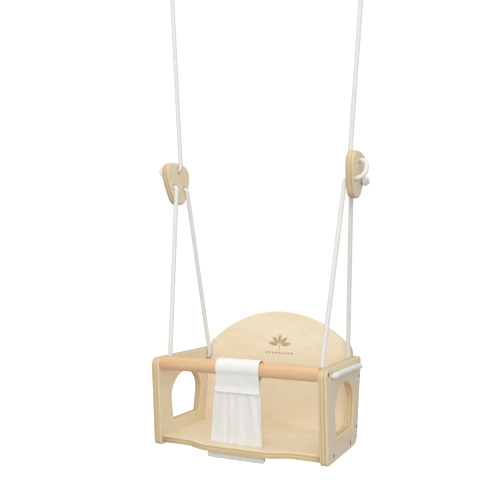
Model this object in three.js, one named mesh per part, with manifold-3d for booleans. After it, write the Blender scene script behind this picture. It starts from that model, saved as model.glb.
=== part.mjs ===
// A wooden toddler bucket swing: a plywood seat box with a beech front bar and a cotton crotch
// strap, hung on two ropes. Each rope runs from a steel ring down through a three-hole adjuster
// plate, forms two legs, and passes through the side panel. Millimetres, +Z up, front is -Y.
// The origin is the hanging point, midway between the centres of the two rings.
import * as THREE from 'three';
import { mergeVertices } from 'three/addons/utils/BufferGeometryUtils.js';
import Module from 'manifold-3d';

const wasm = await Module();
wasm.setup();

// ---- driving dimensions -------------------------------------------------------------------
const GAP = 0.3;                 // clearance between pieces that touch
const BOX_WIDTH = 400;           // over the side panels
const PANEL_THICKNESS = 18;
const PANEL_HEIGHT = 192;
const PANEL_FRONT_TOP = -128;    // the panel's four corners, front to back
const PANEL_FRONT_BOTTOM = -111;
const PANEL_REAR_TOP = 128;
const PANEL_REAR_BOTTOM = 96;
const BOX_SHIFT = -5;            // the ropes hang 5 mm behind the middle of the panel's top edge
const EASE = 2;                  // eased edges of every board
const WINDOW_FOOT = 46;          // the window: an arch on a slightly leaning base
const WINDOW_SPRING = 100;
const WINDOW_HALF = 67;
const WINDOW_RISE = 50;
const WINDOW_FOOT_FRONT = -57;
const WINDOW_FOOT_REAR = 59;
const BOARD = 15;                // thickness of seat board and back panel
const SEAT_TOP = 20;
const SEAT_FRONT = -104;
const SEAT_BULGE = 21;           // how far the middle of the front edge stands forward
const BULGE_HALF = 58;           // the flat middle of the bulge, and where its flanks end
const BULGE_FLANK = 128;
const BACK_TOP = 287;            // along the slope of the back panel
const BACK_ARCH_RADIUS = 240;
const BACK_SHOULDER = 172;       // where the arch runs into the rounded shoulder
const BACK_SHOULDER_HEIGHT = 188;
const BAR_RADIUS = 15;
const BAR_Y = -108;
const BAR_Z = 180;
const SLOT_X = -5;               // the slot lies a little left of the middle
const SLOT_Y = -100.5;
const SLOT_HALF_LENGTH = 61;
const SLOT_HALF_WIDTH = 4.5;
const STRAP_BAR_X = 6;           // and the strap leans to the right going up to the bar
const STRAP_BAR_WIDTH = 98;
const STRAP_SEAM_WIDTH = 102;
const STRAP_SEAM_Z = 133;
const STRAP_SEAT_WIDTH = 117;
const CANVAS_HALF = 1.3;         // half the thickness of the doubled canvas
const HEM_WIDTH = 132;
const ROD_INSET = 5;             // how far the rod's ends lie inside the hem
const HEM_Z = -5;
const ROD_RADIUS = 6;
const ROPE_RADIUS = 5;
const ROPE_SIDES = 8;
const ROPE_HOLE_RADIUS = 6.5;
const ROPE_HOLE_FLARE = 3.5;
const PANEL_HOLE_FRONT = [-87.5, 175];   // the rope's holes through a side panel
const PANEL_HOLE_REAR = [101.6, 171];
const LEG_FOOT_Z = 181;          // where the legs leave the bends at the panel
const LEG_X = BOX_WIDTH / 2 - PANEL_THICKNESS - ROPE_RADIUS - GAP;
const ROPE_LEAN = THREE.MathUtils.degToRad(4);   // the ropes spread outwards going up
const PLATE_THICKNESS = 18;
const PLATE_TOP = 459.5;         // heights along the leaning rope, from the legs' foot
const PLATE_FOOT = 359.5;
const PLATE_HALF = 50.5;         // half its greatest width
const PLATE_TOP_HOLE = 441;
const PLATE_LOW_HOLE = 399;
const PLATE_HOLE_SPREAD = 24;
const SLEEVE_FOOT = 867.4;
const SLEEVE_HEIGHT = 24;
const STRAND = 5.3;              // the two strands in the sleeve lie this far off centre
const EYE_RADIUS = 20;
const EYE_CENTRE = 935;
const RING_RADIUS = 22;
const WIRE_RADIUS = 4;
const SCREW_HEAD_RADIUS = 4.6;
const SCREW_SHANK_RADIUS = 2.5;
const SCREW_CLEARANCE = 0.4;

// ---- values worked out from them ----------------------------------------------------------
const OUTER_X = BOX_WIDTH / 2;
const INNER_X = OUTER_X - PANEL_THICKNESS;
const BOARD_HALF = INNER_X - GAP;
const WIRE_HEIGHT = EYE_CENTRE + EYE_RADIUS - ROPE_RADIUS - GAP - WIRE_RADIUS;
const RING_X = LEG_X + WIRE_HEIGHT * Math.sin(ROPE_LEAN);
const RING_Z = LEG_FOOT_Z + WIRE_HEIGHT * Math.cos(ROPE_LEAN) + RING_RADIUS;
const RECLINE = Math.atan2(PANEL_REAR_TOP - PANEL_REAR_BOTTOM, PANEL_HEIGHT);
const BACK_INSET = 1;            // the back panel stands this far inside the panels' rear edges
const SIDES = [['left', -1], ['right', 1]];

// ---- materials ----------------------------------------------------------------------------
const finish = (color, roughness, metalness = 0) => (
  new THREE.MeshStandardMaterial({ color, roughness, metalness })
);
const birch = finish(0xe6d0a4, 0.5);
const beech = finish(0xe3b27c, 0.45);
const rope = finish(0xefeeea, 0.9);
const canvas = finish(0xf1f0ec, 0.95);
const steel = finish(0xb9bcc0, 0.3, 1);
const darkSteel = finish(0x4a4037, 0.45, 0.9);
const thread = finish(0xe4e2dc, 0.8);

// ---- solids: joining and cutting ----------------------------------------------------------
function solidOf(geometry) {
  const bare = geometry.index ? geometry.toNonIndexed() : geometry.clone();
  bare.deleteAttribute('normal');
  bare.deleteAttribute('uv');
  const merged = mergeVertices(bare, 1e-4);
  return new wasm.Manifold(new wasm.Mesh({
    numProp: 3,
    vertProperties: new Float32Array(merged.attributes.position.array),
    triVerts: new Uint32Array(merged.index.array),
  }));
}

function geometryOf(solid) {
  const mesh = solid.getMesh();
  const geometry = new THREE.BufferGeometry();
  geometry.setAttribute('position', new THREE.BufferAttribute(mesh.vertProperties, 3));
  geometry.setIndex(new THREE.BufferAttribute(mesh.triVerts, 1));
  geometry.computeVertexNormals();
  return geometry;
}

function cut(geometry, cutters) {
  let solid = solidOf(geometry);
  for (const cutter of cutters) solid = solid.subtract(solidOf(cutter));
  return geometryOf(solid);
}

// A body of revolution about the X axis, centred on (x, y, z); the profile holds [radius, along].
function turned(profile, segments, x, y, z, flip = 1) {
  const points = profile.map(([radius, along]) => new THREE.Vector2(radius, along));
  const geometry = new THREE.LatheGeometry(points, segments);
  geometry.rotateZ(-flip * Math.PI / 2);
  return geometry.translate(x, y, z);
}

// A board: an outline in its own plane, with eased edges, lying from 0 to its thickness.
function board(shape, thickness, curveSegments = 8) {
  return new THREE.ExtrudeGeometry(shape, {
    depth: thickness - 2 * EASE,
    bevelThickness: EASE,
    bevelSize: EASE,
    bevelOffset: -EASE,
    bevelSegments: 1,
    curveSegments,
  }).translate(0, 0, EASE);
}

// ---- rope ---------------------------------------------------------------------------------
// A route through points chosen by hand; the tube takes one step from each point to the next.
class Route extends THREE.Curve {
  constructor(points) {
    super();
    this.points = points;
  }

  getPoint(t) {
    return this.points[Math.round(t * (this.points.length - 1))].clone();
  }

  getPointAt(t) {
    return this.getPoint(t);
  }

  getSpacedPoints() {
    return this.points;
  }

  getTangentAt(t, target = new THREE.Vector3()) {
    const last = this.points.length - 1;
    const i = Math.round(t * last);
    const ahead = this.points[Math.min(i + 1, last)];
    const behind = this.points[Math.max(i - 1, 0)];
    return target.copy(ahead).sub(behind).normalize();
  }
}

function ropeTube(points, side) {
  const route = new Route(points.map(([x, y, z]) => new THREE.Vector3(side * x, y, z)));
  const section = new THREE.Shape();
  for (let i = 0; i < ROPE_SIDES; i += 1) {
    const angle = (i + 0.5) * 2 * Math.PI / ROPE_SIDES;
    const point = [ROPE_RADIUS * Math.cos(angle), ROPE_RADIUS * Math.sin(angle)];
    if (i === 0) section.moveTo(...point);
    else section.lineTo(...point);
  }
  section.closePath();
  return new THREE.ExtrudeGeometry(section, {
    steps: points.length - 1,
    extrudePath: route,
    bevelEnabled: false,
  });
}

// Both faces of a board of the given thickness are flared round a rope hole.
function ropeHole(thickness, x, y, z) {
  const half = thickness / 2;
  const neck = half - ROPE_HOLE_FLARE;
  const wide = ROPE_HOLE_RADIUS + ROPE_HOLE_FLARE + 1;
  return turned([
    [0, -half - 1], [wide, -half - 1], [ROPE_HOLE_RADIUS, -neck],
    [ROPE_HOLE_RADIUS, neck], [wide, half + 1], [0, half + 1],
  ], 16, x, y, z);
}

// ---- screws -------------------------------------------------------------------------------
// Along the screw: 0 is the panel's outer face, and negative is towards the middle of the box.
const SCREW_HEAD_TOP = -0.8;
const SCREW_HEAD_FOOT = -3.8;
const SCREW_TIP = -40;
const SEAT_SCREW_DEPTH = 6.5;    // below the top of the seat board

function reclinedY(z, depth) {
  const rear = PANEL_REAR_BOTTOM + z * Math.tan(RECLINE);
  return rear - (BACK_INSET + depth) / Math.cos(RECLINE);
}

const SCREWS = {
  bar: [BAR_Y, BAR_Z],
  back_upper: [reclinedY(148, BOARD / 2), 148],
  back_lower: [reclinedY(38, BOARD / 2), 38],
  seat_front: [-72, SEAT_TOP - SEAT_SCREW_DEPTH],
  seat_rear: [44, SEAT_TOP - SEAT_SCREW_DEPTH],
};

function screw(side, [y, z]) {
  return turned([
    [0, SCREW_TIP], [SCREW_SHANK_RADIUS, SCREW_TIP + 5], [SCREW_SHANK_RADIUS, SCREW_HEAD_FOOT],
    [SCREW_HEAD_RADIUS, SCREW_HEAD_FOOT], [SCREW_HEAD_RADIUS, SCREW_HEAD_TOP],
    [0, SCREW_HEAD_TOP],
  ], 12, side * OUTER_X, y, z, side);
}

function screwHole(side, [y, z]) {
  const shank = SCREW_SHANK_RADIUS + SCREW_CLEARANCE;
  const head = SCREW_HEAD_RADIUS + SCREW_CLEARANCE;
  const seat = SCREW_HEAD_FOOT - SCREW_CLEARANCE;
  return turned([
    [0, SCREW_TIP - 2], [shank, SCREW_TIP - 2], [shank, seat], [head, seat], [head, 1], [0, 1],
  ], 12, side * OUTER_X, y, z, side);
}

function screwHoles(names) {
  const holes = [];
  for (const name of names) {
    for (const [, side] of SIDES) holes.push(screwHole(side, SCREWS[name]));
  }
  return holes;
}

// ---- the seat box -------------------------------------------------------------------------
// Adds a corner, rounded by the given radius, to a path that runs on towards the next point.
function roundedOutline(corners) {
  const shape = new THREE.Shape();
  corners.forEach(([x, y, radius], i) => {
    const here = new THREE.Vector2(x, y);
    const before = new THREE.Vector2(...corners.at(i - 1));
    const after = new THREE.Vector2(...corners[(i + 1) % corners.length]);
    const start = before.sub(here).setLength(radius).add(here);
    const end = after.sub(here).setLength(radius).add(here);
    if (i === 0) shape.moveTo(start.x, start.y);
    else shape.lineTo(start.x, start.y);
    shape.quadraticCurveTo(here.x, here.y, end.x, end.y);
  });
  shape.closePath();
  return shape;
}

function windowPath() {
  const path = new THREE.Path();
  path.moveTo(WINDOW_FOOT_FRONT, WINDOW_FOOT);
  path.lineTo(1 - WINDOW_HALF, WINDOW_SPRING);
  path.absellipse(1, WINDOW_SPRING, WINDOW_HALF, WINDOW_RISE, Math.PI, 0, true);
  path.lineTo(WINDOW_FOOT_REAR, WINDOW_FOOT);
  path.closePath();
  return path;
}

function sidePanel(side) {
  const outline = roundedOutline([
    [PANEL_FRONT_BOTTOM, 0, 12],
    [PANEL_REAR_BOTTOM, 0, 25],
    [PANEL_REAR_TOP, PANEL_HEIGHT, 15],
    [PANEL_FRONT_TOP, PANEL_HEIGHT, 20],
  ]);
  outline.holes.push(windowPath());
  const panel = board(outline, PANEL_THICKNESS);
  // The outline's (x, y) become (y, z), and its thickness runs along +X.
  panel.rotateZ(Math.PI / 2).rotateY(Math.PI / 2);
  panel.translate(side > 0 ? INNER_X : -OUTER_X, 0, 0);
  const middle = side * (INNER_X + PANEL_THICKNESS / 2);
  return cut(panel, [
    ropeHole(PANEL_THICKNESS, middle, ...PANEL_HOLE_FRONT),
    ropeHole(PANEL_THICKNESS, middle, ...PANEL_HOLE_REAR),
    ...Object.values(SCREWS).map((place) => screwHole(side, place)),
  ]);
}

function seatBoard() {
  const rear = reclinedY(SEAT_TOP, BOARD) + 5;
  const bulge = SEAT_FRONT - SEAT_BULGE;
  const outline = new THREE.Shape();
  outline.moveTo(-BOARD_HALF, rear);
  outline.lineTo(-BOARD_HALF, SEAT_FRONT);
  outline.lineTo(-BULGE_FLANK, SEAT_FRONT);
  outline.bezierCurveTo(-100, SEAT_FRONT, -92, bulge, -BULGE_HALF, bulge);
  outline.lineTo(BULGE_HALF, bulge);
  outline.bezierCurveTo(92, bulge, 100, SEAT_FRONT, BULGE_FLANK, SEAT_FRONT);
  outline.lineTo(BOARD_HALF, SEAT_FRONT);
  outline.lineTo(BOARD_HALF, rear);
  outline.closePath();
  const slot = new THREE.Path();
  const reach = SLOT_HALF_LENGTH - SLOT_HALF_WIDTH;
  slot.absarc(SLOT_X + reach, SLOT_Y, SLOT_HALF_WIDTH, -Math.PI / 2, Math.PI / 2, false);
  slot.absarc(SLOT_X - reach, SLOT_Y, SLOT_HALF_WIDTH, Math.PI / 2, 1.5 * Math.PI, false);
  slot.closePath();
  outline.holes.push(slot);
  const seat = new THREE.ExtrudeGeometry(outline, {
    depth: BOARD - 2 * EASE,
    bevelThickness: EASE,
    bevelSize: EASE / 2,
    bevelOffset: -EASE / 2,
    bevelSegments: 1,
    curveSegments: 8,
  }).translate(0, 0, SEAT_TOP - BOARD + EASE);
  // The rear edge is planed to the slope of the back panel.
  const plane = new THREE.BoxGeometry(BOX_WIDTH, 40, 80).rotateX(-RECLINE);
  plane.translate(0, reclinedY(SEAT_TOP, BOARD) - GAP + 20 / Math.cos(RECLINE), SEAT_TOP);
  return cut(seat, [plane, ...screwHoles(['seat_front', 'seat_rear'])]);
}

function backPanel() {
  const foot = SEAT_TOP - BOARD;
  const centre = BACK_TOP - BACK_ARCH_RADIUS;
  const shoulderAngle = Math.acos(BACK_SHOULDER / BACK_ARCH_RADIUS);
  const outline = new THREE.Shape();
  outline.moveTo(-BOARD_HALF, foot);
  outline.lineTo(BOARD_HALF, foot);
  outline.lineTo(BOARD_HALF, BACK_SHOULDER_HEIGHT);
  const arcStart = centre + BACK_ARCH_RADIUS * Math.sin(shoulderAngle);
  const corner = arcStart + 1;
  outline.quadraticCurveTo(BOARD_HALF, corner, BACK_SHOULDER, arcStart);
  outline.absarc(0, centre, BACK_ARCH_RADIUS, shoulderAngle, Math.PI - shoulderAngle, false);
  outline.quadraticCurveTo(-BOARD_HALF, corner, -BOARD_HALF, BACK_SHOULDER_HEIGHT);
  outline.closePath();
  const panel = board(outline, BOARD, 20);
  // The outline stands up, with its thickness running forward from the rear face.
  panel.rotateX(Math.PI / 2).translate(0, -BACK_INSET, 0).rotateX(-RECLINE);
  panel.translate(0, PANEL_REAR_BOTTOM, 0);
  return cut(panel, screwHoles(['back_upper', 'back_lower']));
}

function frontBar() {
  const bar = turned([
    [0, -BOARD_HALF], [BAR_RADIUS, -BOARD_HALF], [BAR_RADIUS, BOARD_HALF], [0, BOARD_HALF],
  ], 28, 0, BAR_Y, BAR_Z);
  return cut(bar, screwHoles(['bar']));
}

// The strap's tunnel round the bar and its tail, drawn in (y, z), and a hem round the rod.
function crotchStrap() {
  const tunnel = BAR_RADIUS + 2 * CANVAS_HALF;
  const foot = HEM_Z + ROD_RADIUS + CANVAS_HALF;
  const outline = new THREE.Shape();
  outline.moveTo(SLOT_Y - CANVAS_HALF, foot);
  outline.lineTo(SLOT_Y - CANVAS_HALF, SEAT_TOP + 2);
  outline.lineTo(-113.4, STRAP_SEAM_Z);
  outline.absarc(BAR_Y, BAR_Z, tunnel, 1.06 * Math.PI, -0.1 * Math.PI, true);
  outline.lineTo(-110.8, STRAP_SEAM_Z);
  outline.lineTo(SLOT_Y + CANVAS_HALF, SEAT_TOP + 2);
  outline.lineTo(SLOT_Y + CANVAS_HALF, foot);
  outline.closePath();
  const barHole = new THREE.Path();
  barHole.moveTo(-112.6, STRAP_SEAM_Z + 9);
  barHole.lineTo(-111.6, STRAP_SEAM_Z + 9);
  barHole.absarc(BAR_Y, BAR_Z, BAR_RADIUS + 0.6, -0.1 * Math.PI, 1.06 * Math.PI, false);
  barHole.closePath();
  outline.holes.push(barHole);
  const strap = new THREE.ExtrudeGeometry(outline, {
    depth: 1, bevelEnabled: false, curveSegments: 16,
  });
  strap.translate(0, 0, -0.5).rotateZ(Math.PI / 2).rotateY(Math.PI / 2);
  const place = strap.attributes.position;
  for (let i = 0; i < place.count; i += 1) {
    const z = place.getZ(i);
    const toSeam = THREE.MathUtils.clamp((z - SEAT_TOP) / (STRAP_SEAM_Z - SEAT_TOP), 0, 1);
    const toBar = THREE.MathUtils.clamp((z - STRAP_SEAM_Z) / (BAR_Z - STRAP_SEAM_Z), 0, 1);
    const lean = THREE.MathUtils.clamp((z - SEAT_TOP) / (BAR_Z - SEAT_TOP), 0, 1);
    const width = THREE.MathUtils.lerp(
      THREE.MathUtils.lerp(STRAP_SEAT_WIDTH, STRAP_SEAM_WIDTH, toSeam), STRAP_BAR_WIDTH, toBar,
    );
    place.setX(i, THREE.MathUtils.lerp(SLOT_X, STRAP_BAR_X, lean) + place.getX(i) * width);
  }
  const end = HEM_WIDTH / 2;
  const inner = ROD_RADIUS + GAP;
  const outer = ROD_RADIUS + 2.2;
  const hem = turned([
    [inner, -end], [outer, -end], [outer, end], [inner, end], [inner, -end],
  ], 20, SLOT_X, SLOT_Y, HEM_Z);
  return geometryOf(solidOf(strap).add(solidOf(hem)));
}

function retainerRod() {
  const half = HEM_WIDTH / 2 - ROD_INSET;
  return turned([
    [0, -half], [ROD_RADIUS, -half], [ROD_RADIUS, half], [0, half],
  ], 16, SLOT_X, SLOT_Y, HEM_Z);
}

// ---- rope routes, right-hand side ----------------------------------------------------------
// Through both holes of the side panel, in the frame of the seat box.
const PANEL_ROUTE = [
  [177, -85.3, 184.9], [176.9, -85.5, 183.4], [177.9, -86.5, 179.5], [181.2, -87.4, 176.2],
  [185.7, -87.5, 175], [196.3, -87.5, 175], [201.2, -86.3, 175.3], [205, -83, 176],
  [206.3, -78.5, 176.6], [206.3, -50, 176.8], [206.3, -22, 176.3], [206.3, 7, 175.7],
  [206.3, 36, 175], [206.3, 64, 174.3], [206.3, 92.6, 173], [205, 97.1, 172.2],
  [201.2, 100.4, 171.3], [196.3, 101.6, 171],
  [185.7, 101.6, 171], [181.2, 101.5, 172.2], [177.9, 101, 175.5], [176.6, 100.3, 179.4],
  [176.7, 100, 180.9],
];
// The others lie in the leaning frame of the rope: across, front to back, and up along it.
const FRONT_LEG_ROUTE = [
  [0, -90.3, 4.4], [0, -77.6, 80], [0, -64.1, 160], [0, -50.7, 240], [0, -37.2, 320],
  [0, -25.6, 389],
];
const REAR_LEG_ROUTE = [
  [0, 95, 0.4], [0, 80.8, 80], [0, 66.5, 160], [0, 52.2, 240], [0, 37.9, 320],
  [0, 25.6, 389],
];
const MAIN_ROUTE = [
  [0, 0, 451.3], [0, 0, 520], [0, 0, 590], [0, 0, 660], [0, 0, 730], [0, 0, 800], [0, 0, 867.1],
];
const NIP_ROUTE = [
  [0, 0, 451], [0, 0, 450], [1.2, 0, 445.5], [4.5, 0, 442.2], [9, 0, 441], [14.1, 0, 441],
];
const LOOP_ROUTES = {
  left: [
    [14.4, 0, 441], [20, 0, 441], [30, -0.6, 445], [40, -2, 450], [47.4, -5, 449.6],
    [49.6, -8.6, 443.6], [45, -12, 436], [37.6, -15.6, 427], [32, -19.6, 414],
    [27.4, -22.8, 403.6], [20, -24, 399], [9, -24, 399],
    [4.5, -24.2, 397.8], [1.2, -24.8, 394.5], [0, -25.4, 391], [0, -25.6, 389.6],
  ],
  right: [
    [14.4, 0, 441], [20, 0, 441], [31, -1.4, 439], [38.8, -6, 431.4], [41.4, -12, 420.4],
    [38.8, -18, 409.2], [31, -22.4, 401.4], [20, -24, 399], [9, -24, 399],
    [4.5, -24.2, 397.8], [1.2, -24.8, 394.5], [0, -25.4, 391], [0, -25.6, 389.6],
  ],
};
const KNOT_ROUTE = [
  [28, 24, 399], [20, 24, 399], [9, 24, 399],
  [4.5, 24.2, 397.8], [1.2, 24.8, 394.5], [0, 25.4, 391], [0, 25.6, 389.6],
];
const EYE_ROUTE = [
  [0, -5.3, 868.6], [0, -5.3, 880], [0, -5.3, 892], [0, -7.5, 903], [0, -13, 915],
  [0, -18.4, 925], [0, -20, 935], [0, -17.3, 945], [0, -10, 952.3], [0, 0, 955],
  [0, 10, 952.3], [0, 17.3, 945], [0, 20, 935], [0, 18.4, 925], [0, 13, 915],
  [0, 7.5, 903], [0, 5.3, 892], [0, 5.3, 880], [0, 5.3, 868.6],
];

// ---- pieces on the rope --------------------------------------------------------------------
const PLATE_FACE = ROPE_RADIUS + GAP;

function adjusterPlate(side) {
  // A rounded triangle, wide at the top, drawn down its right half and up its left.
  const outline = new THREE.Shape();
  outline.moveTo(0, PLATE_TOP);
  outline.bezierCurveTo(35, PLATE_TOP, PLATE_HALF, 451, PLATE_HALF, 434.5);
  outline.bezierCurveTo(PLATE_HALF, 412, 37, 387.5, 26.5, 371);
  outline.bezierCurveTo(20.5, 361.5, 10, PLATE_FOOT, 0, PLATE_FOOT);
  outline.bezierCurveTo(-10, PLATE_FOOT, -20.5, 361.5, -26.5, 371);
  outline.bezierCurveTo(-37, 387.5, -PLATE_HALF, 412, -PLATE_HALF, 434.5);
  outline.bezierCurveTo(-PLATE_HALF, 451, -35, PLATE_TOP, 0, PLATE_TOP);
  const plate = board(outline, PLATE_THICKNESS, 8);
  plate.rotateZ(Math.PI / 2).rotateY(Math.PI / 2);
  plate.translate(side > 0 ? PLATE_FACE : -PLATE_FACE - PLATE_THICKNESS, 0, 0);
  const middle = side * (PLATE_FACE + PLATE_THICKNESS / 2);
  return cut(plate, [
    ropeHole(PLATE_THICKNESS, middle, 0, PLATE_TOP_HOLE),
    ropeHole(PLATE_THICKNESS, middle, -PLATE_HOLE_SPREAD, PLATE_LOW_HOLE),
    ropeHole(PLATE_THICKNESS, middle, PLATE_HOLE_SPREAD, PLATE_LOW_HOLE),
  ]);
}

function endKnot(side) {
  const foot = PLATE_FACE + PLATE_THICKNESS + GAP;
  const knot = turned([
    [0, foot], [7.4, foot], [9.6, foot + 4], [10, foot + 9], [8.6, foot + 14], [5, foot + 17],
    [0, foot + 18],
  ], 16, 0, PLATE_HOLE_SPREAD, PLATE_LOW_HOLE, side);
  return geometryOf(solidOf(knot).add(solidOf(ropeTube(KNOT_ROUTE, side))));
}

function stadium(Kind, halfLength, radius) {
  const path = new Kind();
  path.absarc(0, halfLength, radius, 0, Math.PI, false);
  path.absarc(0, -halfLength, radius, Math.PI, 2 * Math.PI, false);
  path.closePath();
  return path;
}

function eyeSleeve() {
  const outline = stadium(THREE.Shape, STRAND, 8);
  outline.holes.push(stadium(THREE.Path, STRAND, ROPE_RADIUS + GAP));
  return new THREE.ExtrudeGeometry(outline, {
    depth: SLEEVE_HEIGHT, bevelEnabled: false, curveSegments: 10,
  }).translate(0, 0, SLEEVE_FOOT);
}

function hangingRing(side) {
  return new THREE.TorusGeometry(RING_RADIUS, WIRE_RADIUS, 12, 32)
    .rotateX(Math.PI / 2)
    .translate(side * RING_X, 0, 0);
}

// ---- the assembly --------------------------------------------------------------------------
function addMesh(parent, name, geometry, material) {
  const mesh = new THREE.Mesh(geometry, material);
  mesh.name = name;
  parent.add(mesh);
}

const swing = new THREE.Group();
const box = new THREE.Group();
box.position.set(0, BOX_SHIFT, -RING_Z);
swing.add(box);

addMesh(box, 'seat_board', seatBoard(), birch);
addMesh(box, 'back_panel', backPanel(), birch);
addMesh(box, 'front_bar', frontBar(), beech);
addMesh(box, 'crotch_strap', crotchStrap(), canvas);
addMesh(box, 'strap_retainer_rod', retainerRod(), beech);

for (const [name, side] of SIDES) {
  addMesh(box, `${name}_side_panel`, sidePanel(side), birch);
  addMesh(box, `${name}_panel_rope`, ropeTube(PANEL_ROUTE, side), rope);
  for (const [place, position] of Object.entries(SCREWS)) {
    addMesh(box, `${name}_${place}_screw`, screw(side, position), darkSteel);
  }

  const leaning = new THREE.Group();
  leaning.position.set(side * LEG_X, 0, LEG_FOOT_Z - RING_Z);
  leaning.rotation.y = side * ROPE_LEAN;
  swing.add(leaning);
  addMesh(leaning, `${name}_front_leg`, ropeTube(FRONT_LEG_ROUTE, side), rope);
  addMesh(leaning, `${name}_rear_leg`, ropeTube(REAR_LEG_ROUTE, side), rope);
  addMesh(leaning, `${name}_adjuster_plate`, adjusterPlate(side), birch);
  addMesh(leaning, `${name}_adjuster_loop`, ropeTube(LOOP_ROUTES[name], side), rope);
  addMesh(leaning, `${name}_end_knot`, endKnot(side), rope);
  addMesh(leaning, `${name}_rope_nip`, ropeTube(NIP_ROUTE, side), rope);
  addMesh(leaning, `${name}_main_rope`, ropeTube(MAIN_ROUTE, side), rope);
  addMesh(leaning, `${name}_rope_eye`, ropeTube(EYE_ROUTE, side), rope);
  addMesh(leaning, `${name}_eye_sleeve`, eyeSleeve(), thread);
  addMesh(swing, `${name}_hanging_ring`, hangingRing(side), steel);
}

export default swing;
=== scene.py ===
"""A wooden toddler bucket swing: the finished surfaces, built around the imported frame.

Metres, +Z up, front is -Y; the origin is the hanging point, midway between the two rings.
"""
import math

import bmesh
import bpy
import numpy as np
from mathutils import Matrix, Vector, noise
from mathutils.geometry import tessellate_polygon


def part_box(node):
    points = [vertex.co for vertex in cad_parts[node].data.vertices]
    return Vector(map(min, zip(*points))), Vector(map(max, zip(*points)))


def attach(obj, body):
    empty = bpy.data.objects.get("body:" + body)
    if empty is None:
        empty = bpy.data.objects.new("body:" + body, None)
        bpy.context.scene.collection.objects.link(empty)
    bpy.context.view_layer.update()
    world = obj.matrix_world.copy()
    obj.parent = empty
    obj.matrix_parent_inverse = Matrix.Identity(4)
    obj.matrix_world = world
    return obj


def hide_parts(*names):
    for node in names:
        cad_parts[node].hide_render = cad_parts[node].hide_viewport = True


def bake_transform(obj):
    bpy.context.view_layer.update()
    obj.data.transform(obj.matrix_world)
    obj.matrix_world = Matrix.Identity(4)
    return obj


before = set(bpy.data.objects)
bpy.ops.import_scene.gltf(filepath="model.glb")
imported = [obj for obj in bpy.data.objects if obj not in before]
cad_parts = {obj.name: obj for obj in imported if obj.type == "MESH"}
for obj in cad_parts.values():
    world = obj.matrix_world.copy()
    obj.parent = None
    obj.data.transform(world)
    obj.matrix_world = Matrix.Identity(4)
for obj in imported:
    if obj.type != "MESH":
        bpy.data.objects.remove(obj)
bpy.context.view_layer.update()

MM = 0.001
SIDES = {"left": -1, "right": 1}

# ---- sizes that the frame gives ---------------------------------------------------------------
panel_low, panel_high = (Vector(corner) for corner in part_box("right_side_panel"))
bar_low, bar_high = (Vector(corner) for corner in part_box("front_bar"))
rod_low, rod_high = (Vector(corner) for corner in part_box("strap_retainer_rod"))
seat_low, seat_high = (Vector(corner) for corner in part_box("seat_board"))
ring_low, ring_high = (Vector(corner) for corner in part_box("right_hanging_ring"))

BASE_Z = panel_low.z                      # underside of the side panels
INNER_X = panel_low.x                     # inner face of a side panel
PANEL_THICKNESS = panel_high.x - panel_low.x
PANEL_HEIGHT = panel_high.z - panel_low.z
BOARD_HALF = bar_high.x                   # half the length of the boards between the panels
BOARD = seat_high.z - seat_low.z
SEAT_TOP = seat_high.z - BASE_Z
BAR_RADIUS = (bar_high.z - bar_low.z) / 2
ROD_RADIUS = (rod_high.z - rod_low.z) / 2

# ---- sizes that the model shares with the design ----------------------------------------------
BOX_SHIFT = -5 * MM
PANEL_FOOT = (-111 * MM, 96 * MM)         # front and rear ends of the panel's lower edge
PANEL_HEAD = (-128 * MM, 128 * MM)
SEAT_FRONT = -104 * MM
SEAT_BULGE = 21 * MM
BACK_TOP = 287 * MM
BACK_ARCH_RADIUS = 240 * MM
BACK_INSET = 1 * MM
BACK_SHOULDER = 172 * MM
BACK_SHOULDER_HEIGHT = 188 * MM
WINDOW_SPRING = (1 * MM, 100 * MM)        # the window: an arch on a slightly leaning base
WINDOW_REACH = (67 * MM, 50 * MM)
WINDOW_FOOT = (-57 * MM, 59 * MM, 46 * MM)
SLOT_X = -5 * MM
SLOT_Y = -100.5 * MM
SLOT_HALF_LENGTH = 61 * MM
SLOT_HALF_WIDTH = 4.5 * MM
BAR_Y = -108 * MM
BAR_Z = 180 * MM
HEM_Z = -5 * MM
ROPE_RADIUS = 5 * MM
ROPE_HOLE_RADIUS = 6.5 * MM
ROPE_HOLE_FLARE = 3.5 * MM
PANEL_HOLES = [(-87.5 * MM, 175 * MM), (101.6 * MM, 171 * MM)]
LEG_X = 176.7 * MM
LEG_FOOT_Z = BASE_Z + 181 * MM
ROPE_LEAN = math.radians(4)
PLATE_FACE = 5.3 * MM
PLATE_THICKNESS = 18 * MM
PLATE_HOLES = [(0, 441 * MM), (-24 * MM, 399 * MM), (24 * MM, 399 * MM)]
RECLINE = math.atan2(PANEL_HEAD[1] - PANEL_FOOT[1], PANEL_HEIGHT)
GAP = 0.3 * MM

IN_BOX = Matrix.Translation((0, BOX_SHIFT, BASE_Z))


def unit(value):
    """The value, kept between 0 and 1."""
    return min(1.0, max(0.0, value))


def reclined_y(z, depth):
    """Where the back panel is at a height, at a depth behind its rear face, in the seat box."""
    return PANEL_FOOT[1] + z * math.tan(RECLINE) - (BACK_INSET + depth) / math.cos(RECLINE)


SCREWS = {
    "bar": (BAR_Y, BAR_Z),
    "back_upper": (reclined_y(148 * MM, BOARD / 2), 148 * MM),
    "back_lower": (reclined_y(38 * MM, BOARD / 2), 38 * MM),
    "seat_front": (-72 * MM, SEAT_TOP - 6.5 * MM),
    "seat_rear": (44 * MM, SEAT_TOP - 6.5 * MM),
}


def leaning(side):
    """The frame of one side's ropes: across from the rope, front to back, and up along it."""
    foot = Matrix.Translation((side * LEG_X, 0, LEG_FOOT_Z))
    return foot @ Matrix.Rotation(side * ROPE_LEAN, 4, "Y")


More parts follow.
